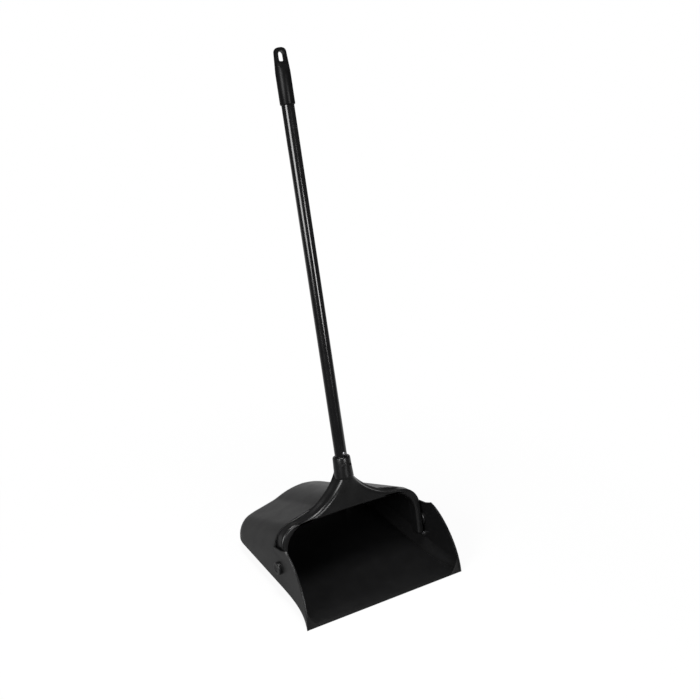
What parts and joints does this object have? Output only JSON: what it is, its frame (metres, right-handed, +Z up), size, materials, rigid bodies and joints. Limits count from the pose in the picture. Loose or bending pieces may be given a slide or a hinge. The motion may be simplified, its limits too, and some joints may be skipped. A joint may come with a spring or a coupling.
{
  "type": "lobby dustpan",
  "caption": "Hooded floor dustpan with a flared lip, a yoke hinged inside its side walls, small rear wheels and a long upright tube handle with a hanging grip.",
  "frame": {"origin": "on the floor, under the hinge axis, at the middle of the pan's width", "axes": "+Z up, +X along the hinge axis to the pan's right seen from behind the mouth, mouth facing -Y"},
  "size_m": [0.322, 0.3581, 0.8973],
  "materials": {
    "pan_plastic": "fine moulded grain, worn on the lip",
    "yoke_plastic": "satin moulded plastic",
    "tube_coat": "smooth black coating on metal",
    "grip_plastic": "satin moulded plastic",
    "cap_plastic": "satin moulded plastic",
    "steel": "bright drawn steel",
    "wheel_plastic": "scuffed moulded plastic"
  },
  "bodies": {
    "pan_body": {"pan": "pan_plastic", "hinge_pin_left": "steel", "hinge_pin_right": "steel", "hinge_cap_left": "cap_plastic", "hinge_cap_right": "cap_plastic", "push_nut_left": "steel", "push_nut_right": "steel", "wall_stud_left": "steel", "wall_stud_right": "steel", "axle_left": "steel", "axle_right": "steel"},
    "handle_body": {"yoke": "yoke_plastic", "handle_tube": "tube_coat", "hand_grip": "grip_plastic", "stop_rivet": "steel"},
    "wheel_left_body": {"wheel_left": "wheel_plastic"},
    "wheel_right_body": {"wheel_right": "wheel_plastic"}
  },
  "joints": [
    {"name": "handle_swing", "type": "hinge", "parent": "pan_body", "child": "handle_body", "pos_m": [0, 0, 0.056], "axis": [1, 0, 0], "range_deg": [0, 95]},
    {"name": "wheel_left_spin", "type": "hinge", "parent": "pan_body", "child": "wheel_left_body", "pos_m": [-0.1, 0.19, 0.011], "axis": [1, 0, 0], "continuous": true},
    {"name": "wheel_right_spin", "type": "hinge", "parent": "pan_body", "child": "wheel_right_body", "pos_m": [0.1, 0.19, 0.011], "axis": [1, 0, 0], "continuous": true}
  ]
}
